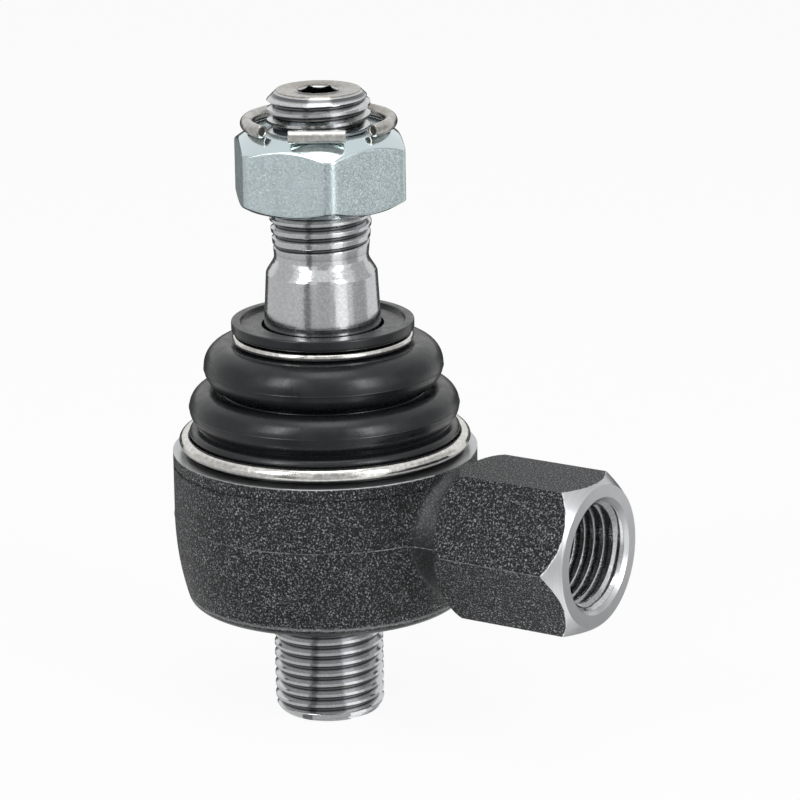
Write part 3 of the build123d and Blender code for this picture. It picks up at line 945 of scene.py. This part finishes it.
class BALLJOINT_OT_nut(PieceOperator, bpy.types.Operator):
    """Build the hexagon nut and the thread in it"""

    bl_idname = "balljoint.nut"
    bl_label = "Hexagon Nut"

    def build(self, s):
        low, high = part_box("hex_nut")
        bottom, top = low.z / MM - 0.3, high.z / MM
        material = finish("zinc_plate")
        seat = s.nut.seat_radius / MM
        face, soft = s.nut.face_radius / MM, s.nut.edge_rounding / MM
        half_width, corner_angle = 11.0, math.radians(10)
        bore, bore_chamfer = 7.12, 0.6
        # Angles are closest together at the six corners.
        part = np.sin(np.linspace(-1, 1, 41)[:-1] * math.pi / 2) * math.pi / 6
        angles = np.concatenate([corner_angle + math.radians(30 + 60 * k) + part for k in range(6)])
        off = np.tile(part, 6)
        flat = half_width / np.cos(off)
        neighbour = half_width / np.cos(math.pi / 3 - np.abs(off))
        outline = soft_min(flat, neighbour, s.nut.corner_rounding / MM)
        slope, seat_slope = 1 / math.tan(FACE_CHAMFER), 1 / math.tan(SEAT_CHAMFER)
        rise = (outline.max() + 0.3 - face) / slope
        # Levels are closest together at both ends, where the chamfers cut the flats in arcs.
        edge = np.concatenate([[0.0, 0.02, 0.05], np.linspace(0.09, rise, 44)])
        middle = np.linspace(bottom + rise, top - rise, 8)[1:-1]
        levels = np.concatenate([bottom + edge, middle, top - edge[::-1]])
        rings = []
        for z in levels:
            cone = min(seat + (z - bottom) * seat_slope, face + (top - z) * slope)
            rings.append(circle(soft_min(outline, np.full_like(outline, cone), soft), z, angles))
        rings.append(circle(bore + bore_chamfer, top, angles))
        rings.append(circle(bore, top - bore_chamfer, angles))
        rings.append(circle(bore, bottom + bore_chamfer, angles))
        rings.append(circle(bore + bore_chamfer, bottom, angles))
        solid = shell(rings, loop=True)
        piece("plated_nut", [solid], [material], "nut", ("hex_nut",), sharp=38)
        # The nut's thread lies in the grooves of the pin's, so its helix is turned to match.
        root, depth = 7.1, s.nut.thread_height
        rim = root + 0.35
        begin, end = bottom + 0.2, top - 0.2
        phase = ((begin * MM - s.pin.thread_bottom) / s.thread.pitch + s.pin.thread_turn) % 1.0
        thread = thread_mesh(
            material, Crest_Radius=-(root * MM - depth), Depth=depth, Bottom=begin * MM, Top=end * MM,
            Bottom_Radius=-rim * MM, Bottom_Slope=1.0, Top_Radius=-rim * MM, Top_Slope=1.0, Phase=phase,
        )
        back = [(rim, end), (rim + 0.1, end), (rim + 0.1, begin), (rim, begin)]
        piece(
            "nut_thread", [thread, turned(back, even_angles(s.thread.segments))], [material],
            "nut", sharp=50,
        )


def soft_min(a, b, width):
    """The smaller of two arrays, with the corner between them rounded over a width."""
    near = np.maximum(width - np.abs(a - b), 0.0) / width
    return np.minimum(a, b) - near * near * width / 4


class BALLJOINT_OT_locking(PieceOperator, bpy.types.Operator):
    """Build the open lock ring and finish the bar in its opening"""

    bl_idname = "balljoint.locking"
    bl_label = "Lock Ring and Bar"

    def build(self, s):
        dress("lock_bar", finish("bright_wire"))
        low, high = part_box("lock_ring")
        level = (low.z + high.z) / 2 / MM
        ring, wire = s.lock.ring_radius / MM, s.lock.wire_radius / MM
        # The opening is centred on -58 degrees and reaches 49 degrees to each side.
        start, sweep = math.radians(-58 + 49), math.radians(360 - 2 * 49)
        # Stations along the ring: (turn, wire radius); both ends are eased and sunk in the middle.
        step_in = 0.1 / ring
        stations = [(0.12 / ring, wire * 0.62), (0.0, wire * 0.70), (0.0, wire - 0.09), (step_in, wire)]
        middle = [(step_in + (sweep - 2 * step_in) * k / 96, wire) for k in range(1, 96)]
        stations += middle + [(sweep - turn, size) for turn, size in stations[::-1]]
        around = even_angles(28)
        rings = []
        for turn, size in stations:
            a = start + turn
            out, rise = ring + size * np.cos(around), level + size * np.sin(around)
            rings.append(np.stack([out * math.cos(a), out * math.sin(a), rise], 1) * MM)
        poles = []
        for turn in (stations[0][0], stations[-1][0]):
            a = start + turn
            poles.append((ring * math.cos(a) * MM, ring * math.sin(a) * MM, level * MM))
        obj = piece(
            "open_lock_ring", [shell(rings, poles[0], poles[1])], [finish("dull_wire"), finish("shaded_cut_wire")],
            "lock", ("lock_ring",), sharp=40,
        )
        centres = [Vector(p) for p in poles]
        # The end faces take the dark finish, painted shade.
        for polygon in obj.data.polygons:
            if min((polygon.center - c).length for c in centres) < wire * 0.64 * MM:
                polygon.material_index = 1


class BALLJOINT_OT_boot(PieceOperator, bpy.types.Operator):
    """Build the rubber boot between the housing and the pin"""

    bl_idname = "balljoint.boot"
    bl_label = "Dust Boot"

    def build(self, s):
        line = s.boot.mould_line / MM
        wall = s.boot.wall / MM
        upper = arc((12.35, 24.0), (16.4, 20.8), (14.1, 17.73), 26)
        lower = arc((14.2, 17.16), (18.5, 14.8), (17.15, 12.75), 26)
        # Collar from the hole outwards, then the groove of the upper clamp.
        outer = eased([
            (8.35, 24.5, 0), (8.35, 26.55, 0.12), (11.1, 26.55, 0.12), (11.3, 27.1, 0.12),
            (12.5, 27.1, 0.22), (12.5, 25.85, 0.2), (12.2, 25.55, 0.15), (11.5, 25.5, 0.1),
            (11.3, 25.1, 0.1), (11.3, 24.45, 0.1), (11.7, 24.15, 0.1), (12.35, 24.0, 0),
        ])
        outer += with_ridge(upper[1:], 20.5, line)
        outer += arc(upper[-1], (13.85, 17.445), lower[0], 6)[1:]
        outer += with_ridge(lower[1:], 15.15, line)
        # Base, with the groove of the lower clamp, and back up inside.
        outer += eased([
            (17.1, 12.6, 0), (17.3, 12.42, 0.15), (18.2, 12.25, 0.35), (18.6, 11.65, 0.2),
            (18.45, 11.3, 0.1), (18.15, 11.0, 0.1), (18.15, 9.9, 0.1), (18.55, 9.6, 0.1),
            (18.6, 9.15, 0.1), (16.7, 9.15, 0.1), (16.7, 12.3, 0),
        ])
        inner = arc((16.3, 13.2), (18.5 - wall, 14.8), (14.0, 16.2), 12)
        inner += arc((12.9, 17.0), (12.6, 17.5), (12.9, 18.2), 5)
        inner += arc((13.6, 18.7), (16.4 - wall, 20.8), (12.6, 22.6), 12)
        inner += eased([(11.9, 22.7, 0), (8.2, 22.7, 0.2), (8.2, 24.3, 0)])
        boot = piece(
            "rubber_boot", [turned(outer + inner, even_angles(144), loop=True)], [finish("boot_rubber")],
            None, ("dust_boot",), sharp=45,
        )
        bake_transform(boot)


def with_ridge(points, level, height):
    """The points with a fine ridge where the line passes a level."""
    made = []
    for (ra, za), (rb, zb) in zip(points, points[1:]):
        made.append((ra, za))
        if za > level >= zb and height > 0:
            r = ra + (rb - ra) * (za - level) / (za - zb)
            made += [(r, level + 0.1), (r + height, level + 0.03)]
            made += [(r + height, level - 0.03), (r, level - 0.1)]
    return made + [points[-1]]


class BALLJOINT_OT_clamps(PieceOperator, bpy.types.Operator):
    """Finish the two wire clamps of the boot"""

    bl_idname = "balljoint.clamps"
    bl_label = "Boot Clamps"

    def build(self, s):
        for node in ("boot_upper_clamp", "boot_lower_clamp"):
            dress(node, finish("bright_wire"))


class BALLJOINT_OT_sealed(PieceOperator, bpy.types.Operator):
    """Finish the shells and the disc spring inside the socket"""

    bl_idname = "balljoint.sealed"
    bl_label = "Pieces in the Socket"

    def build(self, s):
        for node in ("upper_ball_seat", "lower_ball_seat"):
            dress(node, finish("bearing_plastic"))
        dress("disc_spring", finish("spring_steel"))


# ---------------------------------------------------------------- stage

CAMERA_AZIMUTH = math.radians(32.7)
CAMERA_PITCH = math.radians(15.8)
CAMERA_DISTANCE = 613.0
CAMERA_ROLL = math.radians(0.87)
CAMERA_SHIFT_RIGHT = 10.14
CAMERA_SHIFT_UP = 14.95
LENS = 200.0
FLOOR_Z = -29.05

# Azimuths are right of the camera's. Name, azimuth, elevation, width, height, distance, power.
SOFTBOXES = (
    ("right_softbox", 42, 24, 0.16, 0.46, 0.62, 1.7),
    ("left_softbox", -44, 34, 0.16, 0.42, 0.62, 1.5),
    ("overhead_softbox", 10, 80, 0.40, 0.40, 0.75, 1.2),
)
# Name, azimuth, elevation, width, height, tone.
UPRIGHT_CARDS = (
    ("front_card", 4, 12, 0.34, 0.70, 0.55),
    ("left_card", -28, 12, 0.07, 0.70, 0.10),
    ("right_card", 100, 12, 0.58, 0.70, 0.62),
    ("left_side_card", -98, 12, 0.62, 0.80, 0.70),
    ("back_card", 180, 0, 1.10, 0.16, 0.08),
)
# Upright surfaces mirror the ground: sectors of it shape their bands. First and last azimuth, tone.
GROUND_CARDS = (
    (-140, -36, 0.72), (-36, -22, 0.22), (-22, 27, 0.60), (27, 52, 1.45), (52, 64, 0.85),
    (64, 100, 0.50), (100, 142, 0.95), (142, 220, 0.08),
)


def toward(azimuth, elevation):
    """Unit vector from the object towards an azimuth right of the camera's and an elevation, in degrees."""
    a, e = CAMERA_AZIMUTH + math.radians(azimuth), math.radians(elevation)
    return Vector((math.sin(a) * math.cos(e), -math.cos(a) * math.cos(e), math.sin(e)))


def facing(obj, spot, target):
    """Places an object at a spot so that its -Z looks at a target."""
    obj.location = spot
    obj.rotation_euler = (target - spot).to_track_quat("-Z", "Y").to_euler()


def square(half_width, half_depth, level):
    """Corners of a level rectangle about the origin."""
    w, d = half_width, half_depth
    return [(-w, -d, level), (w, -d, level), (w, d, level), (-w, d, level)]


def emptied(owner):
    """The node tree of a material or a world, without its first nodes."""
    owner.use_nodes = True
    owner.node_tree.nodes.clear()
    return Tree(owner.node_tree)


def seen_rays(t):
    """1 for rays of the camera, of reflections and through glass; 0 for light itself."""
    rays = t.add("ShaderNodeLightPath")
    seen = t.most(rays.outputs["Is Camera Ray"], rays.outputs["Is Glossy Ray"])
    return t.most(seen, rays.outputs["Is Transmission Ray"])


class BALLJOINT_OT_stage(bpy.types.Operator):
    """Set up the floor, the lights and the camera"""

    bl_idname = "balljoint.stage"
    bl_label = "Stage"
    bl_options = {"REGISTER", "UNDO"}

    def execute(self, context):
        context.scene.view_settings.view_transform = "Standard"
        self.floor()
        self.world(context.scene)
        middle = Vector((4, 0, 12)) * MM
        for name, azimuth, elevation, width, height, distance, power in SOFTBOXES:
            light = bpy.data.lights.new(name, "AREA")
            light.shape, light.size, light.size_y, light.energy = "RECTANGLE", width, height, power
            lamp = bpy.data.objects.new(name, light)
            context.scene.collection.objects.link(lamp)
            facing(lamp, middle + toward(azimuth, elevation) * distance, middle)
            lamp.visible_camera = False
        for name, azimuth, elevation, width, height, tone in UPRIGHT_CARDS:
            corners = square(width / 2, height / 2, 0)
            facing(self.card(name, corners, tone), middle + toward(azimuth, elevation) * 0.7, middle)
        level = (FLOOR_Z + 0.03) * MM
        for start, stop, tone in GROUND_CARDS:
            rim = [toward(start + (stop - start) * k / 8, 0) * 0.9 for k in range(9)]
            self.card("ground_card", [(0, 0, level)] + [(p.x, p.y, level) for p in rim], tone)
        self.camera(context.scene)
        return {"FINISHED"}

    def sheet(self, name, corners):
        """A flat face with an empty material, both left to the stage."""
        mesh = bpy.data.meshes.new(name)
        mesh.from_pydata(corners, [], [list(range(len(corners)))])
        obj = bpy.data.objects.new(name, mesh)
        bpy.context.scene.collection.objects.link(obj)
        material = bpy.data.materials.new(name)
        mesh.materials.append(material)
        return obj, emptied(material)

    def floor(self):
        """A pale floor that keeps the shadow."""
        obj, t = self.sheet("floor", square(4.0, 4.0, FLOOR_Z * MM))
        plain = t.wired("ShaderNodeBsdfDiffuse", {0: (0.86, 0.86, 0.86, 1)})
        glow = t.wired("ShaderNodeEmission", {0: (1, 1, 1, 1)})
        share_seen = t.times(seen_rays(t), 0.93)
        mixed = t.wired("ShaderNodeMixShader", {0: share_seen, 1: plain, 2: glow})
        t.put(t.add("ShaderNodeOutputMaterial").inputs[0], mixed)

    def card(self, name, corners, tone):
        """A grey card that only shiny surfaces see."""
        obj, t = self.sheet(name, corners)
        glow = t.wired("ShaderNodeEmission", {0: (tone, tone, tone, 1)})
        t.put(t.add("ShaderNodeOutputMaterial").inputs[0], glow)
        obj.visible_camera = obj.visible_diffuse = obj.visible_shadow = obj.visible_transmission = False
        return obj

    def world(self, scene):
        """A white studio that lights the object at a lower level than it is seen."""
        scene.world = bpy.data.worlds.new("studio")
        t = emptied(scene.world)
        level = {"Value": seen_rays(t), "To Min": 0.34, "To Max": 1.0}
        level = t.wired("ShaderNodeMapRange", level)
        back = t.wired("ShaderNodeBackground", {0: (1, 1, 1, 1), 1: level})
        t.put(t.add("ShaderNodeOutputWorld").inputs[0], back)

    def camera(self, scene):
        right = Vector((math.cos(CAMERA_AZIMUTH), math.sin(CAMERA_AZIMUTH), 0))
        back = toward(0, math.degrees(CAMERA_PITCH))
        level, lean = math.cos(CAMERA_ROLL), math.sin(CAMERA_ROLL)
        up = back.cross(right)
        right, up = right * level - up * lean, up * level + right * lean
        data = bpy.data.cameras.new("camera")
        data.lens, data.sensor_width, data.clip_start, data.clip_end = LENS, 36.0, 0.01, 20.0
        camera = bpy.data.objects.new("camera", data)
        scene.collection.objects.link(camera)
        spot = (right * CAMERA_SHIFT_RIGHT + up * CAMERA_SHIFT_UP + back * CAMERA_DISTANCE) * MM
        camera.matrix_world = Matrix.Translation(spot) @ Matrix((right, up, back)).transposed().to_4x4()
        scene.camera = camera


class BALLJOINT_PT_panel(bpy.types.Panel):
    """The ball joint's pieces and sizes in the sidebar"""

    bl_idname = "BALLJOINT_PT_panel"
    bl_label = "Angle Ball Joint"
    bl_space_type = "VIEW_3D"
    bl_region_type = "UI"
    bl_category = "Ball Joint"

    def draw(self, context):
        held = context.scene.ball_joint
        for part in ("thread", "pin", "stud", "arm", "nut", "lock", "boot", "finish"):
            box = self.layout.box()
            box.label(text=part.title())
            group = getattr(held, part)
            for key in group.__annotations__:
                box.prop(group, key)
        for operator in OPERATORS:
            self.layout.operator(operator.bl_idname)


OPERATORS = (
    BALLJOINT_OT_housing,
    BALLJOINT_OT_stud,
    BALLJOINT_OT_arm_thread,
    BALLJOINT_OT_pin,
    BALLJOINT_OT_nut,
    BALLJOINT_OT_locking,
    BALLJOINT_OT_boot,
    BALLJOINT_OT_clamps,
    BALLJOINT_OT_sealed,
    BALLJOINT_OT_stage,
)
GROUPS = (
    ThreadSizes, PinSizes, StudSizes, ArmThreadSizes, NutSizes, LockSizes, BootSizes, FinishColours,
    BallJointSettings,
)


def register():
    for item in GROUPS + OPERATORS + (BALLJOINT_PT_panel,):
        bpy.utils.register_class(item)
    bpy.types.Scene.ball_joint = PointerProperty(type=BallJointSettings)


def unregister():
    del bpy.types.Scene.ball_joint
    for item in reversed(GROUPS + OPERATORS + (BALLJOINT_PT_panel,)):
        bpy.utils.unregister_class(item)


def main():
    register()
    for operator in OPERATORS:
        group, name = operator.bl_idname.split(".")
        getattr(getattr(bpy.ops, group), name)()
    bpy.context.view_layer.update()


if __name__ == "__main__":
    main()
